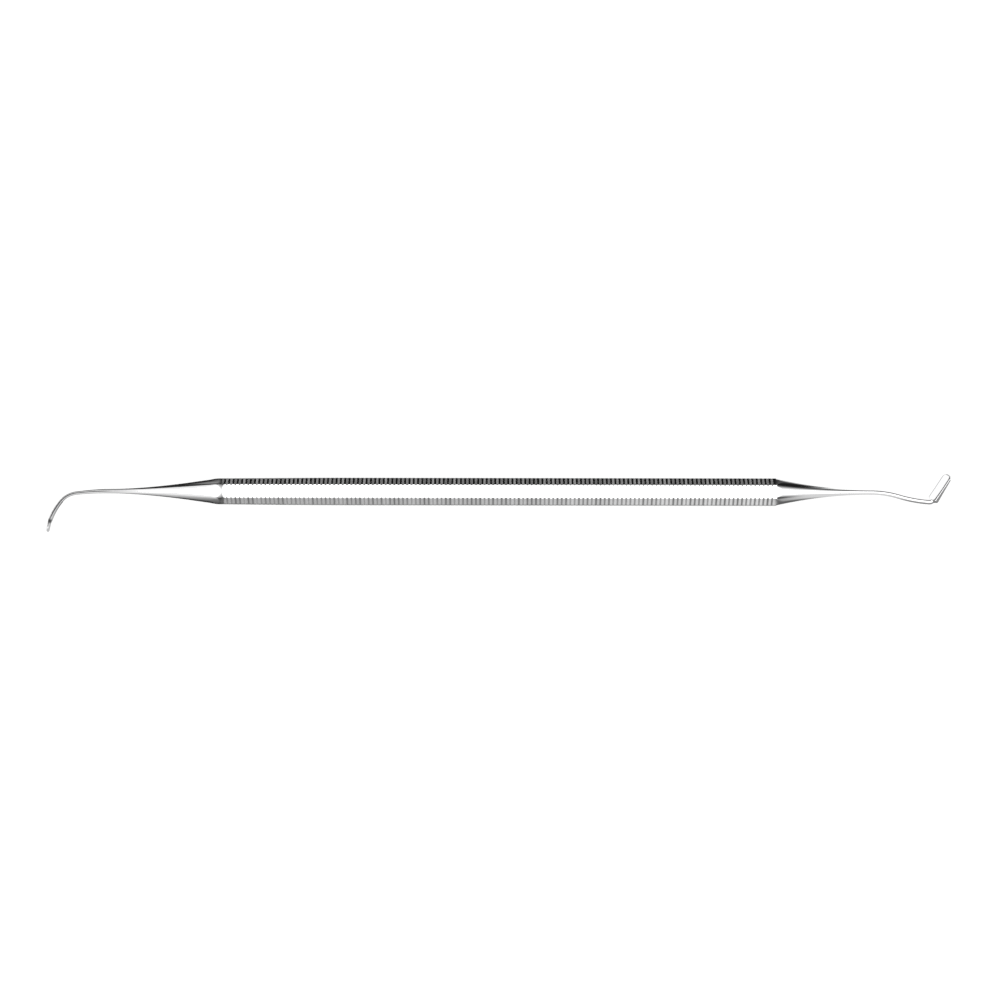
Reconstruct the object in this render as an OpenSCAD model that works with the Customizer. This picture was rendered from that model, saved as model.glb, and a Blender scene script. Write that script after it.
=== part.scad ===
// Double-ended dental filling instrument: one length of hexagonal steel bar, turned to a taper at
// each end, then drawn out, bent and ground to a hooked blade at one end and a turned paddle at
// the other. X runs along the handle towards the paddle and Z is up. The handle lies on one of its
// two plain facets, and the origin is in the middle of that facet.

/* [Handle] */
// Width of the hexagonal bar across its flats
handle_flats = 4.5; // [3.8:0.1:6]
// Length of the full hexagon between the two tapers
handle_len = 103.8; // [90:0.2:120]
// Width of the small bevel that breaks each of the bar's six long edges
edge_bevel = 0.16; // [0.06:0.02:0.4]

/* [Grip grooves] */
// Distance from one cross groove to the next
groove_pitch = 0.8; // [0.7:0.05:1.4]
// Width of a groove at its mouth
groove_mouth = 0.42; // [0.2:0.02:0.46]
// Width of a groove at its floor
groove_floor = 0.16; // [0.06:0.02:0.18]
// Depth of a groove beside the plain facets
groove_depth = 0.15; // [0.06:0.01:0.25]
// Depth that is left where a groove runs out at the bar's two side edges
groove_runout = 0.03; // [0.01:0.01:0.05]
// Shortest plain length between the end of the hexagon and a groove's middle
groove_margin = 0.6; // [0.4:0.1:3]

/* [Tapers] */
// Depth to which a taper's start is turned below the bar's edges
taper_step = 0.06; // [0.04:0.02:0.2]
// Length of the small bevel that leads down to that depth
taper_bevel = 0.2; // [0.1:0.05:0.6]
// Length of the taper at the hook end
hook_taper_len = 20; // [16:0.5:26]
// Fullness of the taper at the hook end: 1 is a straight cone, and more is a hollower one
hook_taper_curve = 1.6; // [1:0.1:3]
// Length of the taper at the paddle end
paddle_taper_len = 17.9; // [14:0.1:24]
// Fullness of the taper at the paddle end
paddle_taper_curve = 1.95; // [1:0.05:3]
// Slope at which the bar's facets are faded into the taper at the hook end
facet_fade_angle = 6; // [3:0.5:8]
// Distance by which those fading facets start before the end of the hexagon
facet_fade_lead = 0.15; // [0.05:0.05:0.3]
// Length of those fading facets, which ends where they lie outside the taper
facet_fade_len = 8; // [7:0.5:10]

/* [Hook blade] */
// Diameter of the shank where the hook's taper ends
hook_shank_d = 0.84; // [0.6:0.02:1.2]
// Length of straight shank before the hook's lead-in
hook_straight_len = 0.5; // [0.3:0.1:6]
// Length of the gentle lead-in to the hook
hook_lead_len = 6.3; // [3:0.1:8]
// Bend of the lead-in in degrees
hook_lead_bend = 7; // [0:0.5:15]
// Length of the hook's main curve
hook_curve_len = 3.5; // [3:0.1:7]
// Bend of the hook's main curve in degrees
hook_curve_bend = 45.5; // [20:0.5:60]
// Length of the blade between the main curve and its tip
hook_blade_len = 3.3; // [2:0.1:5]
// Bend of that stretch in degrees
hook_blade_bend = 15; // [0:0.5:20]
// Length of the blade's tip, which is bent a little further
hook_tip_len = 2.8; // [2:0.1:4]
// Bend of the blade's tip in degrees
hook_tip_bend = 18; // [0:1:25]
// Width of the blade, across the plane of the bends
hook_blade_w = 2.1; // [1.2:0.1:2.6]
// Thickness of the blade
hook_blade_t = 0.68; // [0.6:0.02:0.8]
// Length of the nib at the blade's end, which is ground thinner
hook_nib_len = 2; // [1.4:0.1:2.4]
// Length of the small step that leads down to the nib
hook_nib_step = 0.5; // [0.3:0.1:1]
// Thickness of the nib
hook_nib_t = 0.54; // [0.4:0.02:0.6]

/* [Paddle blade] */
// Diameter of the shank where the paddle's taper ends
paddle_shank_d = 0.94; // [0.7:0.02:1.2]
// Length of the curve in which the shank dips
paddle_dip_len = 5.3; // [3:0.1:8]
// Bend of that dip in degrees
paddle_dip_bend = 16.5; // [0:0.5:25]
// Length of the shank from the dip to the elbow
paddle_rise_len = 5.7; // [4:0.1:9]
// Bend in degrees by which the shank turns up again there
paddle_rise_bend = 12.5; // [0:0.5:20]
// Length of the sharp elbow along the shank
paddle_elbow_len = 0.9; // [0.85:0.05:2]
// Bend of the elbow in degrees
paddle_elbow_bend = 62; // [20:0.5:65]
// Length of the paddle from the elbow to its tip
paddle_blade_len = 5.5; // [4:0.1:8]
// Length over which the paddle's high side steps out, up to the end of the elbow
paddle_shoulder_len = 0.3; // [0.2:0.02:0.36]
// Length by which its low side goes on widening beyond the end of the elbow
paddle_flare_len = 0.16; // [0.1:0.02:1]
// Share of that widening which the low side has already made where the elbow starts
paddle_web = 0.6; // [0:0.05:0.65]
// Width of the paddle
paddle_blade_w = 2.25; // [1.4:0.05:2.6]
// Thickness of the paddle at its heel
paddle_heel_t = 0.94; // [0.6:0.02:1]
// Thickness of the paddle at its tip
paddle_tip_t = 0.5; // [0.3:0.02:0.8]
// Fullness of the thinning between them: 1 is a straight wedge, and more is a hollower one
paddle_thinning = 1.8; // [1:0.1:2.5]
// Angle by which the paddle's face is turned about its length, away from level
paddle_turn = 52; // [0:1:80]

/* [Hidden] */

$fn = 96;
profile_steps = 26;
section_points = 20;
ring_pitch = 0.42;
fine_pitch = 0.1;
tip_rings = 6;
hook_tip_share = 0.5;
paddle_tip_share = 0.35;
tip_thinning = 0.3;
round_power = 2;
hook_power = 4;
paddle_power = 8;
last_tip_angle = 85;
embed = 1;
seat_step = 0.015;
clear_cut = 0.2;
comb_lift = 0.02;

handle_apothem = handle_flats / 2;
side = handle_flats / sqrt(3);
bevel_apothem = handle_apothem / cos(30) - edge_bevel / 2 * tan(30);
edge_r = norm([bevel_apothem, edge_bevel / 2]);
hook_taper_end = -handle_len / 2 - hook_taper_len;
paddle_taper_end = handle_len / 2 + paddle_taper_len;
groove_count = 1 + floor((handle_len - 2 * groove_margin) / groove_pitch);
groove_tilt = asin((groove_depth - groove_runout) / side);

// Share from 0 to 1 of the way from one station to another, eased at both ends
function ease(at, from, to) =
    let (t = min(1, max(0, (at - from) / (to - from)))) t * t * (3 - 2 * t);

function blend(first, last, share) = first + (last - first) * share;

// Section of the bar: a hexagon with two facets level and a small bevel at each edge
function bar_outline() = [
    for (edge = [0:60:300], way = [-1, 1])
        bevel_apothem * [cos(edge), sin(edge)] + way * edge_bevel / 2 * [-sin(edge), cos(edge)]];

// Radius of a taper at a distance from the handle: a power curve from the bar down to the shank
function taper_radius(away, length, shank_d, curve) =
    blend(shank_d / 2, edge_r - taper_step, pow(1 - away / length, curve));

function taper_profile(length, shank_d, curve) = [
    for (k = [0:profile_steps])
        let (away = blend(taper_bevel, length, k / profile_steps))
        [taper_radius(away, length, shank_d, curve), handle_len / 2 + away]];

// Comb whose teeth are the grooves of one facet, seen from the side
function groove_comb() =
    let (last = groove_pitch * (groove_count - 1) / 2, end = last + groove_mouth)
    let (flare = (groove_mouth - groove_floor) / 2 / groove_depth)
    let (top = groove_mouth / 2 + flare * comb_lift)
    concat(
        [[end, clear_cut], [-end, clear_cut], [-end, comb_lift]],
        [for (k = [0:groove_count - 1], corner = [[-top, comb_lift], [-groove_floor / 2, -groove_depth],
                                                  [groove_floor / 2, -groove_depth], [top, comb_lift]])
            corner + [k * groove_pitch - last, 0]],
        [[end, comb_lift]]);

// Place and heading at a distance along a chain of arcs, each a length and a bend in degrees
function chain_pose(chain, along, at, heading, k = 0) =
    let (run = min(along, chain[k][0]), bend = chain[k][1] * run / chain[k][0])
    let (chord = bend == 0 ? run : run * sin(bend / 2) / (bend / 2 * PI / 180))
    let (next = at + chord * [cos(heading + bend / 2), sin(heading + bend / 2)])
    along <= chain[k][0] || k == len(chain) - 1
        ? [next.x, next.y, heading + bend]
        : chain_pose(chain, along - chain[k][0], next, heading + bend, k + 1);

function chain_len(chain, k = 0) = k == len(chain) ? 0 : chain[k][0] + chain_len(chain, k + 1);

// Even steps from one distance up to the next, which is left out
function steps_between(from, to, pitch) =
    let (steps = ceil((to - from) / pitch)) [for (k = [0:steps - 1]) blend(from, to, k / steps)];

// Distances along a blade at which it has a section: even steps, with finer ones over the stretch
// where it changes fast, and closer and closer ones round its tip
function stations(length, tip_len, fine_from, fine_to) = concat(
    steps_between(0, fine_from, ring_pitch),
    steps_between(fine_from, fine_to, fine_pitch),
    steps_between(fine_to, length - tip_len, ring_pitch),
    [for (k = [0:tip_rings]) length - tip_len + tip_len * sin(last_tip_angle * k / tip_rings)]);

// One section: a superellipse across the path, its thickness axis turned by roll from level. The
// reach is its half width on the low and on the high side
function section_ring(pose, thick, reach, squareness, roll) = [
    for (k = [0:section_points - 1])
        let (a = 360 * k / section_points)
        let (u = thick / 2 * sign(cos(a)) * pow(abs(cos(a)), 2 / squareness))
        let (v = (sin(a) < 0 ? reach[0] : reach[1]) * sign(sin(a)) * pow(abs(sin(a)), 2 / squareness))
        let (across = u * cos(roll) - v * sin(roll))
        [pose.x - across * sin(pose.z), pose.y + across * cos(pose.z),
         handle_apothem + u * sin(roll) + v * cos(roll)]];

// Closed skin over a row of sections
module skin(rings) {
    count = len(rings[0]);
    sides = [for (r = [0:len(rings) - 2], k = [0:count - 1])
        let (a = r * count + k, b = r * count + (k + 1) % count)
        each [[a, a + count, b + count], [a, b + count, b]]];
    first = [for (k = [0:count - 1]) k];
    last = [for (k = [count - 1:-1:0]) (len(rings) - 1) * count + k];
    polyhedron([for (ring = rings) each ring], concat(sides, [first, last]));
}

// The bar with both its tapers turned, still as a full round where the bar's edges are cut away
module turned_bar() {
    bar_len = paddle_taper_end - hook_taper_end + 2 * clear_cut;
    intersection() {
        translate([hook_taper_end - clear_cut, 0, 0])
            rotate([90, 0, 90])
                linear_extrude(bar_len) polygon(bar_outline());
        rotate([0, 90, 0])
            rotate_extrude()
                polygon(concat(
                    [for (p = taper_profile(paddle_taper_len, paddle_shank_d, paddle_taper_curve))
                        p],
                    [[0, paddle_taper_end], [0, hook_taper_end]],
                    [for (k = [profile_steps:-1:0])
                        let (p = taper_profile(hook_taper_len, hook_shank_d, hook_taper_curve)[k])
                        [p.x, -p.y]],
                    [[edge_r + clear_cut, -handle_len / 2], [edge_r + clear_cut, handle_len / 2]]));
    }
}

// Cutters that fade the six facets into the hook's taper, each tilted down from the bar's end
module fading_facets() {
    for (turn = [0:60:300])
        rotate([turn, 0, 0])
            translate([-handle_len / 2 + facet_fade_lead, 0, handle_apothem])
                rotate([0, -facet_fade_angle, 0])
                    translate([-facet_fade_len, -side, 0])
                        cube([facet_fade_len, 2 * side, handle_apothem]);
}

// Cutters of the grooves on the four side facets, which get shallower towards the side edges
module groove_cutters() {
    for (turn = [60, 120, 240, 300])
        rotate([turn, 0, 0])
            mirror([0, turn % 180 == 120 ? 1 : 0, 0])
                translate([0, side / 2, handle_apothem])
                    rotate([-groove_tilt, 0, 0])
                        translate([0, clear_cut, 0])
                            rotate([90, 0, 0])
                                linear_extrude(side + 2 * clear_cut) polygon(groove_comb());
}

// Hooked blade: the shank curves round and flattens into a blade that stands on edge
module hook_end() {
    lead_from = embed + hook_straight_len;
    chain = [[lead_from, 0], [hook_lead_len, hook_lead_bend], [hook_curve_len, hook_curve_bend],
             [hook_blade_len, hook_blade_bend], [hook_tip_len, hook_tip_bend]];
    length = chain_len(chain);
    lead_to = lead_from + hook_lead_len;
    flat_from = lead_from + hook_lead_len / 2;
    flat_to = length - hook_tip_len;
    nib_from = length - hook_nib_len - hook_nib_step / 2;
    nib_to = nib_from + hook_nib_step;
    tip_len = hook_blade_w * hook_tip_share;
    round_d = hook_shank_d - 2 * seat_step;
    skin([for (s = stations(length, tip_len, nib_from, nib_to))
        let (tip = max(0, (s - length + tip_len) / tip_len), end = sqrt(1 - tip * tip))
        let (flat = ease(s, flat_from, flat_to), nib = ease(s, nib_from, nib_to))
        let (drawn = blend(round_d, hook_blade_t, ease(s, embed, lead_to)))
        let (half = blend(drawn, hook_blade_w, flat) / 2 * end)
        section_ring(
            chain_pose(chain, s, [hook_taper_end + embed, 0], 180),
            blend(drawn, hook_nib_t, nib) * pow(end, tip_thinning),
            [half, half], blend(round_power, hook_power, flat), 0)]);
}

// Paddle: the shank dips, turns up at the elbow and widens into a flat paddle turned on its length
module paddle_end() {
    chain = [[embed, 0], [paddle_dip_len, -paddle_dip_bend], [paddle_rise_len, paddle_rise_bend],
             [paddle_elbow_len, paddle_elbow_bend], [paddle_blade_len, 0]];
    length = chain_len(chain);
    heel = length - paddle_blade_len;
    elbow = heel - paddle_elbow_len;
    shoulder_from = heel - paddle_shoulder_len;
    flare_to = heel + paddle_flare_len;
    tip_len = paddle_blade_w * paddle_tip_share;
    round_d = paddle_shank_d - 2 * seat_step;
    skin([for (s = stations(length, tip_len, elbow - paddle_shoulder_len, flare_to))
        let (left = 1 - max(0, (s - heel) / paddle_blade_len))
        let (ground = blend(paddle_tip_t, paddle_heel_t, pow(left, paddle_thinning)))
        let (tip = max(0, (s - length + tip_len) / tip_len), end = sqrt(1 - tip * tip))
        let (square = ease(s, shoulder_from, flare_to), high = ease(s, shoulder_from, heel))
        let (web = paddle_web * ease(s, elbow - paddle_shoulder_len, elbow))
        let (low = blend(web, 1, ease(s, heel - fine_pitch / 2, flare_to)))
        section_ring(
            chain_pose(chain, s, [paddle_taper_end - embed, 0], 0),
            blend(round_d, ground, square) * pow(end, tip_thinning),
            [for (share = [low, high]) blend(round_d, paddle_blade_w, share) / 2 * end],
            blend(round_power, paddle_power, square), 90 - paddle_turn)]);
}

// The whole instrument: one forged and ground piece of polished stainless steel
module filling_instrument() {
    color("silver")
        union() {
            translate([0, 0, handle_apothem])
                difference() {
                    turned_bar();
                    fading_facets();
                    groove_cutters();
                }
            hook_end();
            paddle_end();
        }
}

filling_instrument();
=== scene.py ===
import bpy
import numpy as np
from mathutils import Matrix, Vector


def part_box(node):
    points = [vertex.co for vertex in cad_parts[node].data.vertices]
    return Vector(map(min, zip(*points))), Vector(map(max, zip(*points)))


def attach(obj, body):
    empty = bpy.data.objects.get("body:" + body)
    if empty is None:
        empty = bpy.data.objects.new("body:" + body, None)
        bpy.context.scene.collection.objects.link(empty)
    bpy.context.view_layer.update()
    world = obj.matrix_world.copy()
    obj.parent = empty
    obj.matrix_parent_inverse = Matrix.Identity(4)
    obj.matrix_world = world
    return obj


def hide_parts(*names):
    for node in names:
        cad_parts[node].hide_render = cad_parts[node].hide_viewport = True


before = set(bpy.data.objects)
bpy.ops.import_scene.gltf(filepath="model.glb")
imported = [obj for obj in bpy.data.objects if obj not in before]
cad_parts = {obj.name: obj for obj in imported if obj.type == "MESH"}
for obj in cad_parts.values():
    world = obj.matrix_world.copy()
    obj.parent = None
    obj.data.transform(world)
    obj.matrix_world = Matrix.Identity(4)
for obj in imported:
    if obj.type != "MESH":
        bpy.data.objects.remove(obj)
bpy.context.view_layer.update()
scene = bpy.context.scene
scene.view_settings.view_transform = "Standard"


# Camera
# The photograph looks down on the instrument through a long lens, square to the handle's plain
# facet but for a small tilt and a small turn. Its frame is square, and 187 mm wide at the handle.
PIXEL = 0.0001868                       # metres across one pixel of the photograph
FRAME_PIXELS = 1000
HANDLE_MIDDLE_PIXEL = (497.4, 491.75)   # where the middle of the handle's axis shows
HANDLE_TURN = np.radians(0.094)         # clockwise turn of the handle in the picture
VIEW_TILT = np.radians(1.3)             # the camera stands this far off the vertical, towards -Y
CAMERA_AWAY, NEAREST_SEEN, FARTHEST_SEEN = 0.7, 0.01, 20
SENSOR_WIDTH = 36                       # millimetres

axis_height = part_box("filling_instrument")[1].z / 2
view_back = np.array([0, -np.sin(VIEW_TILT), np.cos(VIEW_TILT)])
level_right, level_up = np.array([1, 0, 0]), np.array([0, np.cos(VIEW_TILT), np.sin(VIEW_TILT)])
view_right = np.cos(HANDLE_TURN) * level_right + np.sin(HANDLE_TURN) * level_up
view_up = np.cos(HANDLE_TURN) * level_up - np.sin(HANDLE_TURN) * level_right
off_right = (FRAME_PIXELS / 2 - HANDLE_MIDDLE_PIXEL[0]) * PIXEL
off_up = (HANDLE_MIDDLE_PIXEL[1] - FRAME_PIXELS / 2) * PIXEL
looked_at = np.array([0, 0, axis_height]) + off_right * view_right + off_up * view_up

camera_data = bpy.data.cameras.new("camera")
camera_data.sensor_width = SENSOR_WIDTH
camera_data.lens = SENSOR_WIDTH * CAMERA_AWAY / (FRAME_PIXELS * PIXEL)
camera_data.clip_start = NEAREST_SEEN
camera_data.clip_end = FARTHEST_SEEN
camera = bpy.data.objects.new("camera", camera_data)
camera_rows = np.eye(4)
camera_rows[:3, 0], camera_rows[:3, 1], camera_rows[:3, 2] = view_right, view_up, view_back
camera_rows[:3, 3] = looked_at + CAMERA_AWAY * view_back
camera.matrix_world = Matrix(camera_rows.tolist())
scene.collection.objects.link(camera)
scene.camera = camera


# Filling instrument
# One length of hexagonal stainless steel bar, with cross grooves for grip in four of its facets.
# Its ends are turned to a taper, drawn out, bent and ground to a hooked blade and a turned paddle,
# and it is polished all over. Sizes are in millimetres, with stations from the handle's middle.
MM = 0.001                              # metres
FLATS, HANDLE_LEN, EDGE_BEVEL = 4.5, 103.8, 0.16
GROOVE_COUNT, GROOVE_PITCH, GROOVE_MOUTH, GROOVE_FLOOR = 129, 0.8, 0.42, 0.16
GROOVE_DEPTH, GROOVE_RUNOUT, GROOVE_LIP = 0.15, 0.03, 0.01
TAPER_STEP, TAPER_BEVEL, OPEN_GAP = 0.06, 0.2, 0.2
HOOK_TAPER_LEN, HOOK_TAPER_CURVE, HOOK_SHANK_D = 20, 1.6, 0.84
PADDLE_TAPER_LEN, PADDLE_TAPER_CURVE, PADDLE_SHANK_D = 17.9, 1.95, 0.94
FADE_ANGLE, FADE_LEAD, FADE_LEN = np.radians(6), 0.15, 8
HOOK_ARCS = [(0.5, 0), (6.3, 7), (3.5, 45.5), (3.3, 15), (2.79, 18)]    # length, bend in degrees
PADDLE_ARCS = [(5.3, -16.5), (5.7, 12.5), (0.9, 62), (5.488, 0)]
HOOK_BLADE_W, HOOK_BLADE_T = 2.1, 0.68
HOOK_NIB_LEN, HOOK_NIB_STEP, HOOK_NIB_T = 2, 0.5, 0.54
PADDLE_W, PADDLE_HEEL_T, PADDLE_TIP_T, PADDLE_THINNING = 2.25, 0.94, 0.5, 1.8
PADDLE_SHOULDER, PADDLE_FLARE, PADDLE_WEB, PADDLE_STEP = 0.3, 0.16, 0.6, 0.05
PADDLE_TURN = np.radians(52)
TURN_FROM, TURN_END = 1, 2              # starts past the taper, and ends short of the heel
PADDLE_ROUNDING, TIP_THINNING = 0.35 * PADDLE_W, 0.15
ROUND, HOOK_SQUARENESS, PADDLE_SQUARENESS = 2, 4, 8         # powers of the superellipses
EDGE_SHARPNESS, WORN_SHARPNESS = 90, 22                     # powers of the norm at the bar's edges
WORN_BEFORE, WORN_PAST = 0.2, 2         # the edges get rounder across the handle's hook end
BUFFED_FROM, BUFFED_TO = -29, 2.41      # the side edges are buffed away towards the hook
PATH_STEP, PATH_MARGIN = 0.01, 0.1

apothem = FLATS / 2
side = FLATS / np.sqrt(3)
edge_r = np.hypot(apothem / np.cos(np.pi / 6) - EDGE_BEVEL / 2 * np.tan(np.pi / 6), EDGE_BEVEL / 2)
hook_start = -HANDLE_LEN / 2 - HOOK_TAPER_LEN
paddle_start = HANDLE_LEN / 2 + PADDLE_TAPER_LEN
hook_knots = np.cumsum([0] + [length for length, bend in HOOK_ARCS])
hook_bends = np.cumsum([0] + [bend for length, bend in HOOK_ARCS])
paddle_knots = np.cumsum([0] + [length for length, bend in PADDLE_ARCS])
paddle_bends = np.cumsum([0] + [bend for length, bend in PADDLE_ARCS])
hook_tip, paddle_tip = hook_start - hook_knots[-1], paddle_start + paddle_knots[-1]


def eased(at, start, end):
    """Share that goes from 0 to 1 between two places: 3 t squared less 2 t cubed."""
    t = np.clip((at - start) / (end - start), 0, 1)
    return t * t * (3 - 2 * t)


def mixed(first, last, share):
    """Straight mix of two values."""
    return first + (last - first) * share


def path(along):
    """Place and heading on the centre line: the heading runs straight from bend to bend, and the
    place is the sum of the small steps that it makes, counted from the middle of the handle."""
    knots = np.concatenate([hook_start - hook_knots[::-1], paddle_start + paddle_knots])
    bends = np.radians(np.concatenate([hook_bends[::-1], paddle_bends]))
    fine = np.arange(hook_tip - PATH_MARGIN, paddle_tip + PATH_MARGIN, PATH_STEP)
    heading = np.interp(fine, knots, bends)
    half_way = (heading[1:] + heading[:-1]) / 2
    x = np.concatenate([[0], np.cumsum(np.cos(half_way) * np.diff(fine))])
    y = np.concatenate([[0], np.cumsum(np.sin(half_way) * np.diff(fine))])
    x, y = x - np.interp(0, fine, x), y - np.interp(0, fine, y)
    return np.interp(along, fine, x), np.interp(along, fine, y), np.interp(along, knots, bends)


def groove_share(along):
    """How deep a station lies in a groove: 0 on a land, 1 on a groove's floor, eased between."""
    last = GROOVE_PITCH * (GROOVE_COUNT - 1) / 2
    nearest = np.clip(np.round((along + last) / GROOVE_PITCH) * GROOVE_PITCH - last, -last, last)
    floor_edge, mouth_edge = GROOVE_FLOOR / 2 - GROOVE_LIP, GROOVE_MOUTH / 2 + GROOVE_LIP
    return 1 - eased(np.abs(along - nearest), floor_edge, mouth_edge)


def turned_radius(along):
    """Radius left by turning: clear of the bar along the handle, a short bevel at its end, and
    then a power curve down to the shank."""
    clear, start = edge_r + OPEN_GAP, edge_r - TAPER_STEP
    radius = np.full_like(along, clear)
    for way, length, curve, shank in (
            (-1, HOOK_TAPER_LEN, HOOK_TAPER_CURVE, HOOK_SHANK_D),
            (1, PADDLE_TAPER_LEN, PADDLE_TAPER_CURVE, PADDLE_SHANK_D)):
        past_end = way * along - HANDLE_LEN / 2
        taper = mixed(shank / 2, start, np.clip(1 - past_end / length, 0, 1) ** curve)
        bevel_foot = mixed(shank / 2, start, (1 - TAPER_BEVEL / length) ** curve)
        bevel = mixed(clear, bevel_foot, np.clip(past_end / TAPER_BEVEL, 0, 1))
        radius = np.where(past_end > TAPER_BEVEL, taper, np.where(past_end > 0, bevel, radius))
    return radius


def bar_radius(along, angle):
    """Radius of the bar's section: a norm of a high power joins the turned round, the six facets
    and the two buffed side edges, which rounds the edges between them. In a groove a side facet
    sinks and tilts. Past the hook end all facets sink at one angle, until only the round is left."""
    share = groove_share(along)
    past_end = np.maximum(0, -along - HANDLE_LEN / 2 + FADE_LEAD)
    plain = np.where(past_end < FADE_LEN, apothem - np.tan(FADE_ANGLE) * past_end, 2 * apothem)
    tilt = np.arctan(share * (GROOVE_DEPTH - GROOVE_RUNOUT) / side)
    sunk = np.cos(tilt) * (apothem - share * GROOVE_DEPTH) + np.sin(tilt) * side / 2
    buffed_share = np.clip((BUFFED_FROM - along) / (HANDLE_LEN / 2 + BUFFED_FROM), 0, 1)
    buffed = mixed(side, BUFFED_TO, buffed_share)
    nearness = [1 / turned_radius(along)]
    nearness += [np.maximum(0, way * np.cos(angle)) / buffed for way in (-1, 1)]
    for facet, tilt_way in ((30, 1), (90, 0), (150, -1), (210, 1), (270, 0), (330, -1)):
        flat = np.where(abs(tilt_way) * share > 0, sunk, plain)
        off_facet = angle - np.radians(facet) - tilt_way * tilt
        nearness.append(np.maximum(0, np.cos(off_facet)) / flat)
    nearness = np.stack(nearness)
    most = nearness.max(0)
    worn = eased(-along, HANDLE_LEN / 2 - WORN_BEFORE, HANDLE_LEN / 2 + WORN_PAST)
    power = mixed(EDGE_SHARPNESS, WORN_SHARPNESS, worn)
    return 1 / (most * ((nearness / most) ** power).sum(0) ** (1 / power))


def hook_size(past):
    """Thickness, half width on the low and on the high side, squareness and roll of the hook, at a
    distance past its taper. With q from 0 to 1 round its tip, the width falls as the root of 1
    less q squared, which rounds the outline, and the thickness as a low power of the same."""
    shank_end, blade_start, tip = hook_knots[[2, 4, 5]]
    shank_len = HOOK_ARCS[1][0]
    flat = eased(past, shank_end - shank_len / 2, blade_start)
    drawn = mixed(HOOK_SHANK_D, HOOK_BLADE_T, eased(past, 0, shank_end))
    nib_foot = tip - HOOK_NIB_LEN
    nib = eased(past, nib_foot - HOOK_NIB_STEP / 2, nib_foot + HOOK_NIB_STEP / 2)
    q = np.clip((past - tip) / (HOOK_BLADE_W / 2) + 1, 0, 1)
    thick = mixed(drawn, HOOK_NIB_T, nib) * (1 - q * q) ** TIP_THINNING
    half = mixed(drawn, HOOK_BLADE_W, flat) / 2 * np.sqrt(1 - q * q)
    return np.stack([thick, half, half, mixed(ROUND, HOOK_SQUARENESS, flat), 0 * past])


def paddle_size(past):
    """The same five sizes of the paddle and its shank. It gets thinner from the heel to the tip as
    a power of what is left of its length, has a web on the low side of the elbow, and its tip is
    rounded as the hook's is."""
    elbow, heel, tip = paddle_knots[2:5]
    square = eased(past, heel - PADDLE_SHOULDER, heel + PADDLE_FLARE)
    left = 1 - np.clip((past - heel) / (tip - heel), 0, 1)
    ground = mixed(PADDLE_TIP_T, PADDLE_HEEL_T, left ** PADDLE_THINNING)
    q = np.clip((past - tip) / PADDLE_ROUNDING + 1, 0, 1)
    thick = mixed(PADDLE_SHANK_D, ground, square) * (1 - q * q) ** TIP_THINNING
    web = PADDLE_WEB * eased(past, elbow - PADDLE_SHOULDER, elbow)
    widened = mixed(web, 1, eased(past, heel - PADDLE_STEP, heel + PADDLE_FLARE))
    low = mixed(PADDLE_SHANK_D, PADDLE_W, widened)
    high = mixed(PADDLE_SHANK_D, PADDLE_W, eased(past, heel - PADDLE_SHOULDER, heel))
    rounded = np.sqrt(1 - q * q) / 2
    roll = (np.pi / 2 - PADDLE_TURN) * eased(past, TURN_FROM, heel - TURN_END)
    return np.stack([thick, low * rounded, high * rounded,
                     mixed(ROUND, PADDLE_SQUARENESS, square), roll])


# Angles of the bar's edges and of the facets' middles that go with those of a blade's edges and
# sides, and the length over which the points move from the first to the second
BAR_EDGES = np.radians([0, 60, 90, 120, 180, 240, 270, 300, 360])
BLADE_EDGES = np.radians(np.arange(9) * 45)
EDGES_MERGE = 5


def surface(along, angle):
    """Point of the skin at a station and an angle round it: the section's outline, stood square
    to the centre line. The drawn ends are superellipses, whose angle is warped towards 45 degrees
    so that the close points that follow the bar's edges follow the blades' edges too."""
    x, y, heading = path(along)
    radius = bar_radius(along, angle)
    past = np.where(along < 0, hook_start - along, along - paddle_start)
    thick, low, high, squareness, roll = np.where(along < 0, hook_size(past), paddle_size(past))
    turn = angle % (2 * np.pi)
    turn = mixed(turn, np.interp(turn, BAR_EDGES, BLADE_EDGES), eased(past, 0, EDGES_MERGE))
    through = thick / 2 * np.sign(np.cos(turn)) * np.abs(np.cos(turn)) ** (2 / squareness)
    wide = np.where(np.sin(turn) < 0, -low, high) * np.abs(np.sin(turn)) ** (2 / squareness)
    in_bar = past < 0
    across = np.where(in_bar, radius * np.cos(angle), through * np.cos(roll) - wide * np.sin(roll))
    up = np.where(in_bar, radius * np.sin(angle), through * np.sin(roll) + wide * np.cos(roll))
    return np.stack([x - across * np.sin(heading), y + across * np.cos(heading), apothem + up], -1)


# Stations from the middle of each groove and past both ends of the handle, spacings along the
# tapers and the drawn ends, and the degrees of the rings round a tip
ACROSS_GROOVE = [-0.23, -0.19, -0.13, -0.065, 0.065, 0.13, 0.19, 0.23]
PAST_HANDLE = [-0.02, 0.06, 0.14, 0.2, 0.25, 0.3, 0.36, 0.44, 0.55, 0.7, 0.85]
TAPER_SPACING, HOOK_SPACING, PADDLE_SPACING = 0.3, 0.13, 0.09
SHANK_GAP = 0.1                         # no ring lies this close before a shank
ROUND_TIP = np.radians([0, 12, 24, 35, 45, 54, 62, 69, 75, 80, 84, 87, 89])


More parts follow.
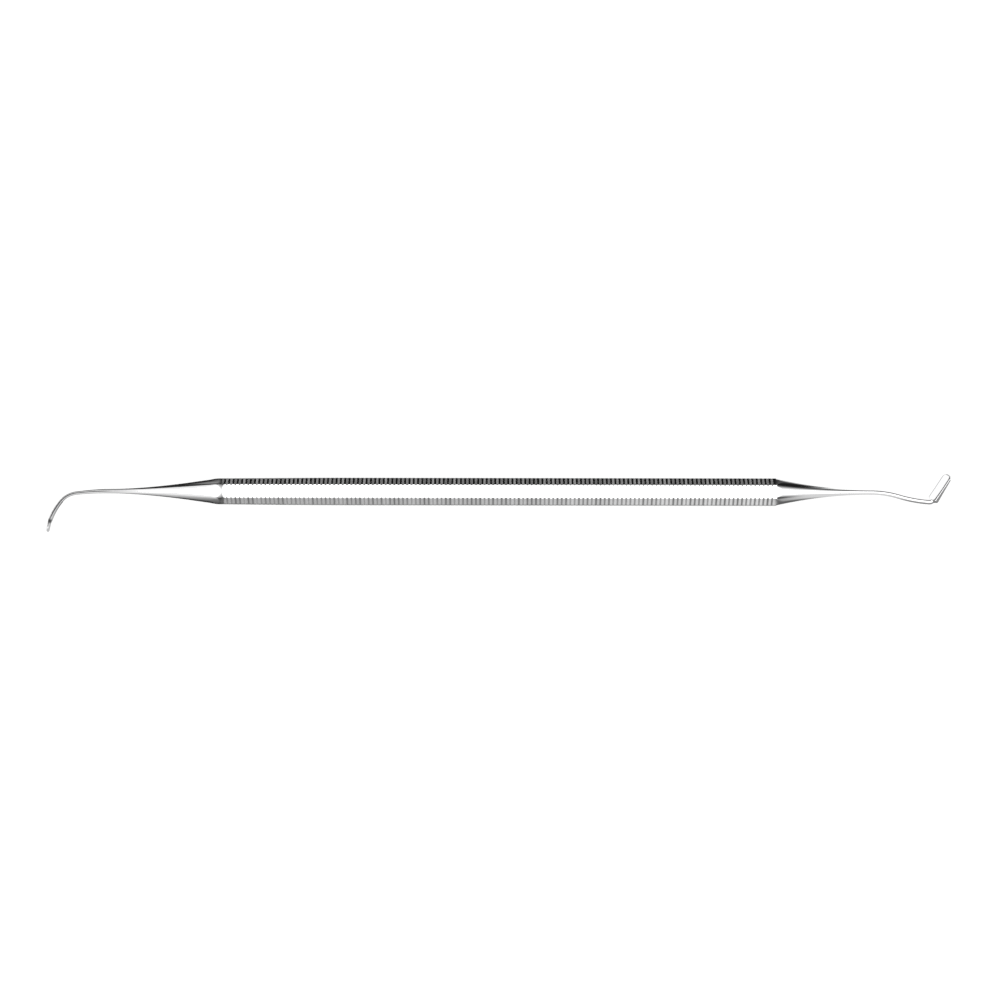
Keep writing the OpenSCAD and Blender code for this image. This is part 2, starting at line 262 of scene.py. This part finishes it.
def skin_stations():
    """Stations along the skin: eight to a groove, close ones where the tapers start, even steps
    down the shanks, and closer and closer ones round the tips, as a sine, up to their poles."""
    grooves = (np.arange(GROOVE_COUNT) - (GROOVE_COUNT - 1) / 2) * GROOVE_PITCH
    handle = (grooves[:, None] + ACROSS_GROOVE).ravel()
    past_end = np.concatenate([PAST_HANDLE, np.arange(1, HOOK_TAPER_LEN, TAPER_SPACING)])
    hook_taper = -HANDLE_LEN / 2 - past_end[past_end < HOOK_TAPER_LEN - SHANK_GAP]
    paddle_taper = HANDLE_LEN / 2 + past_end[past_end < PADDLE_TAPER_LEN - SHANK_GAP]
    hook_round, paddle_round = HOOK_BLADE_W / 2, PADDLE_ROUNDING
    hook_shank = np.arange(hook_start, hook_tip + hook_round, -HOOK_SPACING)
    paddle_shank = np.arange(paddle_start, paddle_tip - paddle_round, PADDLE_SPACING)
    return np.sort(np.concatenate([
        handle, hook_taper, paddle_taper, hook_shank, paddle_shank,
        hook_tip + hook_round * (1 - np.sin(ROUND_TIP)),
        paddle_tip - paddle_round * (1 - np.sin(ROUND_TIP))]))


# Degrees of the points from a side edge, and from an upper or lower edge
SIDE_EDGE = [0, 1.6, 3.2]
PLAIN_EDGE = np.array([-2.6, -1, 0.6, 1.9, 3.1, 4.5, 6.2])


def skin_angles():
    """Angles round the skin: close ones over the six edges, wider apart on the facets. A quarter
    is worked out, and mirrored twice."""
    side_facet = np.linspace(SIDE_EDGE[-1], 60 + PLAIN_EDGE[0], 6)[1:-1]
    plain_facet = np.linspace(60 + PLAIN_EDGE[-1], 90, 3, endpoint=False)[1:]
    quarter = np.concatenate([SIDE_EDGE, side_facet, 60 + PLAIN_EDGE, plain_facet])
    half = np.concatenate([quarter, 180 - quarter[::-1]])
    return np.radians(np.unique(np.round(np.concatenate([half, 180 + half]) % 360, 6)))


NORMAL_STEP, NORMAL_TURN = 0.004, np.radians(0.15)      # either way, to find the skin's slope
TINY = 1e-12                                            # keeps a division from zero

along, angle = np.meshgrid(skin_stations(), skin_angles(), indexing="ij")
skin = surface(along, angle)
down_path = surface(along + NORMAL_STEP, angle) - surface(along - NORMAL_STEP, angle)
round_path = surface(along, angle + NORMAL_TURN) - surface(along, angle - NORMAL_TURN)
skin_normals = np.cross(round_path, down_path)
skin_normals /= np.maximum(np.linalg.norm(skin_normals, axis=-1, keepdims=True), TINY)

tip_x, tip_y, tip_heading = path(np.array([hook_tip, paddle_tip]))
tips = np.stack([tip_x, tip_y, np.full(2, apothem)], -1)
tip_ways = np.stack([np.cos(tip_heading), np.sin(tip_heading), 0 * tip_heading], -1)
points = np.concatenate([skin.reshape(-1, 3), tips])
normals = np.concatenate([skin_normals.reshape(-1, 3), tip_ways * [[-1], [1]]])

rings, round_count = along.shape
ring = np.arange(rings - 1)[:, None] * round_count
now, after = np.arange(round_count), (np.arange(round_count) + 1) % round_count
quads = np.stack([ring + now, ring + after, ring + after + round_count, ring + now + round_count], -1)
hook_pole, paddle_pole = rings * round_count + np.arange(2)
last_ring = (rings - 1) * round_count
fans = np.concatenate([
    np.stack([np.full(round_count, hook_pole), after, now], -1),
    np.stack([np.full(round_count, paddle_pole), last_ring + now, last_ring + after], -1)])

instrument_mesh = bpy.data.meshes.new("filling_instrument_skin")
instrument_mesh.from_pydata(
    (points * MM).tolist(), [], quads.reshape(-1, 4).tolist() + fans.tolist())
instrument_mesh.polygons.foreach_set("use_smooth", np.ones(len(instrument_mesh.polygons), bool))
instrument_mesh.normals_split_custom_set_from_vertices(normals.tolist())

# Dull residue fills the grooves, unevenly from cut to cut, and their darker colour is partly painted
# shade in the recesses.
# Dark marks of painted shade and painted dark reflections lie on the steel. Angles are degrees round
# the bar:
# up is 90, the side edges are 0 and 180, and each facet takes up 60.
RESIDUE_AND_SHADE_ROUND, RESIDUE_AND_SHADE_POWER = 62, 0.6          # reach from a side edge, and fill of the flanks
WEAR_SEED = 11
# Painted shade: a dark band in the crease where the hook's taper meets the hexagon
CREASE_AT, CREASE_HALF, CREASE_SPREAD = 0.4 - HANDLE_LEN / 2, 0.32, 0.8     # at the hook's taper
CREASE_STEEPNESS, CREASE_MIDDLE = 1.5, 0.5      # it is paler in the middle of a facet
# Painted shade, deeper in the groove next to the hook's taper on the -Y side
FIRST_CUT_AT = -GROOVE_PITCH * (GROOVE_COUNT - 1) / 2 - 0.05
FIRST_CUT_HALF = 0.25                           # the groove next to the hook's taper, on -Y
# Painted shade: a dark spot on the upper side of the step at the foot of the nib
SPOT_FROM_TIP, SPOT_HALF, SPOT_POWER = 2.05, 0.42, 4        # at the foot of the nib
# Painted dark reflections of the shadowed floor: a line round the rim of the paddle's faces and its
# tip, and one along the handle's side edges
OUTLINE_AT, OUTLINE_HALF, OUTLINE_TONE = 45, 16, 0.9        # round the rim of the paddle's faces
OUTLINE_FROM, OUTLINE_FULL, END_FROM, END_FULL = 5.8, 5.2, 0.3, 0.05    # from the paddle's tip
SIDE_LINE_HALF, SIDE_LINE_TONE = 5, 0.6         # along the handle's side edges


def bell(off, half, power=2):
    """Bell curve, 1 in the middle: e to the power of minus (off / half) to an even power."""
    return np.exp(-(off / half) ** power)


on_handle = np.abs(along) < HANDLE_LEN / 2
on_grip = on_handle & (np.abs(np.sin(angle)) < np.sin(np.radians(RESIDUE_AND_SHADE_ROUND)))
# Residue in the grooves; its darker colour there is also painted shade in the recesses
residue_and_shade = np.where(on_grip, groove_share(along) ** RESIDUE_AND_SHADE_POWER, 0)
nearest_cut = np.round(along / GROOVE_PITCH + (GROOVE_COUNT - 1) / 2)
nearest_cut = np.clip(nearest_cut, 0, GROOVE_COUNT - 1).astype(int)
cut_wear = np.random.default_rng(WEAR_SEED).uniform(0, 1, GROOVE_COUNT)[nearest_cut]
cut_wear = np.where(on_grip, cut_wear, 1)

# Painted shade in the crease at the hook's taper, widest at the facets' edges and paler in their
# middles
off_facet_middle = np.abs(np.degrees(angle) % 60 - 30) / 30
crease_width = CREASE_HALF + CREASE_SPREAD * off_facet_middle ** 2
crease_shade = np.clip(CREASE_STEEPNESS * (1 - np.abs(along - CREASE_AT) / crease_width), 0, 1)
crease_shade = crease_shade * mixed(CREASE_MIDDLE, 1, off_facet_middle)
first_cut_shade = bell(along - FIRST_CUT_AT, FIRST_CUT_HALF) * (np.cos(angle) < 0) * residue_and_shade
nib_step_shade = bell(along - hook_tip - SPOT_FROM_TIP, SPOT_HALF, SPOT_POWER)
nib_step_shade = nib_step_shade * np.clip(2 * np.sin(angle), 0, 1)
# Painted dark reflections along the paddle's rim and the handle's side edges
off_vertical = np.abs(np.degrees(angle) % 180 - 90)
outline = bell(off_vertical - OUTLINE_AT, OUTLINE_HALF)
outline = outline * eased(along, paddle_tip - OUTLINE_FROM, paddle_tip - OUTLINE_FULL)
outline = np.maximum(outline, eased(along, paddle_tip - END_FROM, paddle_tip - END_FULL))
side_edge_shade = bell(off_vertical - 90, SIDE_LINE_HALF) * on_handle
lines = np.maximum(outline * OUTLINE_TONE, side_edge_shade * SIDE_LINE_TONE)
# All these marks together: painted shade and painted dark reflections, which darken the steel's
# colour
painted_shade = np.clip(crease_shade + first_cut_shade + nib_step_shade + lines, 0, 1)
for name, values in (("residue_and_shade", residue_and_shade), ("cut_wear", cut_wear), ("painted_shade", painted_shade)):
    mark = instrument_mesh.attributes.new(name, "FLOAT", "POINT")
    pole_values = values[[0, -1], 0]
    mark.data.foreach_set("value", np.concatenate([values.ravel(), pole_values]).astype(np.float32))
instrument = bpy.data.objects.new("dental_instrument", instrument_mesh)
scene.collection.objects.link(instrument)

# The steel is bright, with a fine haze and scratches drawn out along it. Residue, whose darker colour
# in the grooves is partly painted shade, takes its shine and its metal look away, and the marks of
# painted shade and painted dark reflections darken it.
# The third colour is the dark grey of the painted shade and painted dark reflections
STEEL, RUBBED_LAND, PAINTED_SHADE_GREY = (0.87, 0.87, 0.875, 1), (0.7, 0.7, 0.7, 1), (0.1, 0.1, 0.1, 1)
# Greys of the groove residue together with its painted shade, and how metallic the residue is
DARKEST_RESIDUE_AND_SHADE, PALEST_RESIDUE_AND_SHADE, RESIDUE_METALLIC = 0.13, 0.3, 0.15
FINEST_POLISH, HAZIEST_POLISH = 0.08, 0.14      # roughness
RESIDUE_ROUGHENS, PAINTED_SHADE_ROUGHENS = 0.42, 0.2
HAZE_SCALE, HAZE_DETAIL, HAZE_FROM, HAZE_TO = 420, 4, 0.3, 0.7
SCRATCH_SCALE, SCRATCH_DETAIL = (250, 9000, 9000), 3
RELIEF_STRENGTH, RELIEF_DEPTH = 0.05, 0.00002


def feed(node, inputs):
    """Give a node's inputs their values, or join them to the outputs that feed them."""
    for name, value in inputs.items():
        if isinstance(value, bpy.types.NodeSocket):
            node.id_data.links.new(value, node.inputs[name])
        else:
            node.inputs[name].default_value = value


def add_node(tree, kind, inputs, **settings):
    """New node of a kind, with its settings by name and its inputs fed."""
    node = tree.nodes.new(kind)
    for name, value in settings.items():
        setattr(node, name, value)
    feed(node, inputs)
    return node


steel = bpy.data.materials.new("polished_steel")
steel.use_nodes = True
tree = steel.node_tree
residue_and_shade, cut_wear, painted_shade = (
    add_node(tree, "ShaderNodeAttribute", {}, attribute_name=name).outputs["Fac"]
    for name in ("residue_and_shade", "cut_wear", "painted_shade"))
place = add_node(tree, "ShaderNodeTexCoord", {}).outputs["Object"]

# Groove colour: greys of the residue, which also paint shade in the recesses
residue_and_shade_grey = add_node(tree, "ShaderNodeMapRange", {
    "Value": cut_wear, "To Min": DARKEST_RESIDUE_AND_SHADE, "To Max": PALEST_RESIDUE_AND_SHADE}).outputs["Result"]
residue_and_shade_colour = add_node(tree, "ShaderNodeCombineColor", {
    "Red": residue_and_shade_grey, "Green": residue_and_shade_grey, "Blue": residue_and_shade_grey})
land = add_node(tree, "ShaderNodeMix", {
    "Factor": cut_wear, "A": RUBBED_LAND, "B": STEEL}, data_type="RGBA")
grooved = add_node(tree, "ShaderNodeMix", {
    "Factor": residue_and_shade, "A": land.outputs["Result"], "B": residue_and_shade_colour.outputs["Color"]},
    data_type="RGBA")
# Painted shade and painted dark reflections darken the colour
with_painted_shade = add_node(tree, "ShaderNodeMix", {
    "Factor": painted_shade, "A": grooved.outputs["Result"], "B": PAINTED_SHADE_GREY}, data_type="RGBA")

metallic = add_node(tree, "ShaderNodeMapRange", {
    "Value": residue_and_shade, "To Min": 1, "To Max": RESIDUE_METALLIC})
haze = add_node(tree, "ShaderNodeTexNoise", {
    "Vector": place, "Scale": HAZE_SCALE, "Detail": HAZE_DETAIL})
polish = add_node(tree, "ShaderNodeMapRange", {
    "Value": haze.outputs["Fac"], "From Min": HAZE_FROM, "From Max": HAZE_TO,
    "To Min": FINEST_POLISH, "To Max": HAZIEST_POLISH})
dulled = add_node(tree, "ShaderNodeMath", {
    0: residue_and_shade, 1: RESIDUE_ROUGHENS, 2: polish.outputs["Result"]}, operation="MULTIPLY_ADD")
dulled_more = add_node(tree, "ShaderNodeMath", {
    0: painted_shade, 1: PAINTED_SHADE_ROUGHENS, 2: dulled.outputs["Value"]}, operation="MULTIPLY_ADD")
drawn_out = add_node(tree, "ShaderNodeMapping", {"Vector": place, "Scale": SCRATCH_SCALE})
scratches = add_node(tree, "ShaderNodeTexNoise", {
    "Vector": drawn_out.outputs["Vector"], "Scale": 1, "Detail": SCRATCH_DETAIL})
relief = add_node(tree, "ShaderNodeBump", {
    "Strength": RELIEF_STRENGTH, "Distance": RELIEF_DEPTH, "Height": scratches.outputs["Fac"]})
feed(tree.nodes["Principled BSDF"], {
    "Base Color": with_painted_shade.outputs["Result"], "Metallic": metallic.outputs["Result"],
    "Roughness": dulled_more.outputs["Value"], "Normal": relief.outputs["Normal"]})
instrument_mesh.materials.append(steel)
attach(instrument, "root")
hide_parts("filling_instrument")


# Floor
# A plain white sheet of paper that the instrument lies on. The camera and the metal see it as
# white, and a share of it takes the light, so that it keeps the instrument's shadow.
SHEET_HALF = 1.5
SHEET_GLOW, SHEET_SHADED = 0.8, (0.25, 0.25, 0.25, 1)   # as seen: its glow, and what takes shadow
SHEET_PLAIN = (0.8, 0.8, 0.8, 1)                        # as it lights the instrument

sheet_mesh = bpy.data.meshes.new("floor")
sheet_mesh.from_pydata(
    [(-SHEET_HALF, -SHEET_HALF, 0), (SHEET_HALF, -SHEET_HALF, 0),
     (SHEET_HALF, SHEET_HALF, 0), (-SHEET_HALF, SHEET_HALF, 0)], [], [(0, 1, 2, 3)])
sheet = bpy.data.objects.new("floor", sheet_mesh)
scene.collection.objects.link(sheet)

paper = bpy.data.materials.new("white_sheet")
paper.use_nodes = True
tree = paper.node_tree
tree.nodes.remove(tree.nodes["Principled BSDF"])
sight = add_node(tree, "ShaderNodeLightPath", {})
camera_or_gloss = add_node(tree, "ShaderNodeMath", {
    0: sight.outputs["Is Camera Ray"], 1: sight.outputs["Is Glossy Ray"]})
any_sight = add_node(tree, "ShaderNodeMath", {
    0: camera_or_gloss.outputs["Value"], 1: sight.outputs["Is Transmission Ray"]}, use_clamp=True)
glow = add_node(tree, "ShaderNodeEmission", {"Strength": SHEET_GLOW})
shaded = add_node(tree, "ShaderNodeBsdfDiffuse", {"Color": SHEET_SHADED})
as_seen = add_node(tree, "ShaderNodeAddShader", {
    0: glow.outputs["Emission"], 1: shaded.outputs["BSDF"]})
plain = add_node(tree, "ShaderNodeBsdfDiffuse", {"Color": SHEET_PLAIN})
either = add_node(tree, "ShaderNodeMixShader", {
    "Fac": any_sight.outputs["Value"], 1: plain.outputs["BSDF"], 2: as_seen.outputs["Shader"]})
feed(tree.nodes["Material Output"], {"Surface": either.outputs["Shader"]})
sheet_mesh.materials.append(paper)


# Studio light
# A white room, a wide soft box overhead, and cards stood close beside the instrument. Only
# reflections see the cards, which give polished metal its black, grey and white bands.
SOFT_BOX_LENGTH, SOFT_BOX_WIDTH, SOFT_BOX_HEIGHT, SOFT_BOX_RADIANCE = 1.2, 0.8, 0.9, 1.2
# The cards are in millimetres, as the instrument is. A side card's places are stations along it
# and elevations in degrees, seen from the middle of a side facet.
CARD_RADIUS, CARD_LIFT = 14, 0.05
CARD_STATIONS, CARD_ELEVATIONS = np.arange(-95, 125.1, 0.4), np.arange(-84, 67, 2.0)
SEEN_FROM_Y, SEEN_FROM_Z = 1.9, 3.4
HOOK_CARD_X, HOOK_CARD_Y = np.arange(-96, -69.9, 0.5), np.arange(-14, 12.1, 0.5)
HOOK_CARD_Z = 16

world = bpy.data.worlds.new("room")
scene.world = world
world.use_nodes = True
feed(world.node_tree.nodes["Background"], {"Color": (1, 1, 1, 1), "Strength": 1})

box_data = bpy.data.lights.new("soft_box", "AREA")
box_data.shape = "RECTANGLE"
box_data.size, box_data.size_y = SOFT_BOX_LENGTH, SOFT_BOX_WIDTH
box_data.energy = SOFT_BOX_RADIANCE * np.pi * SOFT_BOX_LENGTH * SOFT_BOX_WIDTH
soft_box = bpy.data.objects.new("soft_box", box_data)
soft_box.location = (0, 0, SOFT_BOX_HEIGHT)
scene.collection.objects.link(soft_box)


def reflection_card(name, x, y, z, tones):
    """Sheet on a grid of points, which shines with the tone given at each point, where 1 is white,
    and which only reflections see."""
    rows, columns = x.shape
    corner = (np.arange(rows - 1)[:, None] * columns + np.arange(columns - 1)).ravel()
    faces = np.stack([corner, corner + 1, corner + columns + 1, corner + columns], -1)
    mesh = bpy.data.meshes.new(name)
    mesh.from_pydata((np.stack([x, y, z], -1).reshape(-1, 3) * MM).tolist(), [], faces.tolist())
    mark = mesh.attributes.new("tone", "FLOAT", "POINT")
    mark.data.foreach_set("value", tones.ravel().astype(np.float32))
    card = bpy.data.objects.new(name, mesh)
    scene.collection.objects.link(card)
    card.visible_camera = card.visible_diffuse = card.visible_shadow = False
    card.visible_transmission = False
    cloth = bpy.data.materials.new(name)
    cloth.use_nodes = True
    tree = cloth.node_tree
    tree.nodes.remove(tree.nodes["Principled BSDF"])
    tone = add_node(tree, "ShaderNodeAttribute", {}, attribute_name="tone")
    glow = add_node(tree, "ShaderNodeEmission", {"Strength": tone.outputs["Fac"]})
    feed(tree.nodes["Material Output"], {"Surface": glow.outputs["Emission"]})
    mesh.materials.append(cloth)


def side_card(name, way, tone):
    """Card bent round one side of the instrument, placed by its elevation as a side facet sees it:
    on the floor where the line of sight meets it within the card's radius, and else on an arc."""
    x, elevation = np.meshgrid(CARD_STATIONS, CARD_ELEVATIONS, indexing="ij")
    slope = np.sin(np.radians(elevation))
    to_floor = (SEEN_FROM_Z - CARD_LIFT) / np.maximum(-slope, TINY)
    reach = np.minimum(np.where(slope < 0, to_floor, CARD_RADIUS), CARD_RADIUS)
    y = way * (SEEN_FROM_Y + reach * np.cos(np.radians(elevation)))
    reflection_card(name, x, y, SEEN_FROM_Z + reach * slope, tone(x, elevation))


def upper_tone(x, elevation):
    """Tone on the +Y side. Beside the handle a pale strip lies close by, then black, which gets
    lighter as a power of the height above 18 degrees. Beside the hook's taper the floor is grey
    near the handle and black farther off, the horizon dark and the rest white. A faint streak
    marks the start of the paddle's taper, and farther on the floor is white."""
    past_hook, past_paddle = -x - HANDLE_LEN / 2, x - HANDLE_LEN / 2
    black, pale_strip, sky_from, sky_span, sky_power = 0.012, 0.4, 18, 42, 2.2
    sky = np.clip((elevation - sky_from) / sky_span, 0, 1) ** sky_power
    above_strip = eased(elevation, -54, -46)
    handle = mixed(pale_strip, np.maximum(black, sky), above_strip)

    black_floor, grey_floor, dark_horizon = 0.02, 0.33, 0.03
    floor_by_handle = (1 - eased(past_hook, 2.1, 9.1)) * eased(elevation, -39, -27)
    from_horizon, above_horizon = eased(elevation, -12, -4), eased(elevation, 14, 30)
    hook_taper = mixed(black_floor, grey_floor, floor_by_handle)
    hook_taper = mixed(mixed(hook_taper, dark_horizon, from_horizon), 1, above_horizon)

    bright_floor, dark_wall, faint = 1.2, 0.12, 0.07
    above_floor = eased(elevation, -14, -4)
    shank = mixed(bright_floor, np.maximum(handle, dark_wall), above_floor)
    along_streak = eased(past_paddle, 0.3, 1.3) * (1 - eased(past_paddle, 3.1, 7.1))
    streak = along_streak * (1 - eased(elevation, -20, 0))

    beside_hook_taper, beside_shank = eased(past_hook, 0.1, 0.9), eased(past_paddle, 9.6, 12.6)
    tone = mixed(handle + faint * streak, hook_taper, beside_hook_taper)
    return mixed(tone, shank, beside_shank)


def lower_tone(x, elevation):
    """Tone on the -Y side. Beside the handle it is dark close by, then grey at the hook's end and
    nearly white at the paddle's, and white above. Beside the hook's taper it gets lighter with the
    height and with the way from the handle.
    Beside the paddle's taper it is dark near the handle and lighter past it, with a nearly black bar
    half way up. Past the paddle's tip it is grey. The dark low and close beside the handle and its
    tapers is painted shadow: the instrument's shadow on the floor, as reflections see it."""
    past_hook, past_paddle = -x - HANDLE_LEN / 2, x - HANDLE_LEN / 2
    # The dark strip close by is the instrument's painted shadow on the floor
    shadow_strip, greys_along = 0.12, [0.5, 0.62, 0.88]
    above_strip, up_to_white = eased(elevation, -56, -44), eased(elevation, -15, 35)
    wall = np.interp(x, [-HANDLE_LEN / 2, 0, HANDLE_LEN / 2], greys_along)
    handle = mixed(shadow_strip, mixed(wall, 1, up_to_white), above_strip)

    lift_by_way, lift_from, low_limit = 1.5, 2.1, 0.6
    lift = elevation + lift_by_way * (past_hook - lift_from)
    hook_taper = np.interp(lift, [-38, -25, 0, 25, 40], [0.04, 0.28, 0.45, 0.7, 1])
    hook_taper = np.minimum(hook_taper, mixed(low_limit, 1, eased(elevation, 10, 40)))

    # The dark floor near the paddle's taper is painted shadow too
    shadowed_floor, near_wall, pale_wall, shank_grey, nearly_black = 0.13, 0.26, 0.75, 0.22, 0.06
    above_floor, off_handle = eased(elevation, -30, -5), eased(past_paddle, 4.1, 12.1)
    paddle_taper = mixed(mixed(shadowed_floor, near_wall, above_floor), pale_wall, off_handle)
    low_by_shank = eased(past_paddle, 19.1, 24.1) * (1 - eased(elevation, 10, 30))
    paddle_taper = mixed(paddle_taper, shank_grey, low_by_shank)
    bar = eased(elevation, 20, 30) * (1 - eased(elevation, 44, 58))
    bar = bar * (1 - eased(past_paddle, 7.1, 11.1))
    above_bar = eased(elevation, 46, 66)
    paddle_taper = mixed(mixed(paddle_taper, nearly_black, bar), 1, above_bar)

    tip_grey, past_tip = 0.3, eased(past_paddle, 45.1, 53.1)
    beside_hook_taper, beside_taper = eased(past_hook, -0.3, 0.5), eased(past_paddle, 0.1, 0.9)
    tone = mixed(handle, hook_taper, beside_hook_taper)
    tone = mixed(tone, paddle_taper, beside_taper)
    return mixed(tone, tip_grey, past_tip)


def hook_tone(x, y):
    """Tone over the hook: greys across the instrument, joined by straight slopes, and white at the
    end towards its taper."""
    grey = np.interp(y, [-7, -5.5, -4.5, -2, 0, 1.5], [0.45, 0.4, 0.1, 0.1, 0.18, 0.1])
    over_hook = eased(-x - HANDLE_LEN / 2, 18.6, 24.1)
    return mixed(1, grey, over_hook)


side_card("upper_card", 1, upper_tone)
side_card("lower_card", -1, lower_tone)
x, y = np.meshgrid(HOOK_CARD_X, HOOK_CARD_Y, indexing="ij")
reflection_card("hook_card", x, y, np.full_like(x, HOOK_CARD_Z), hook_tone(x, y))
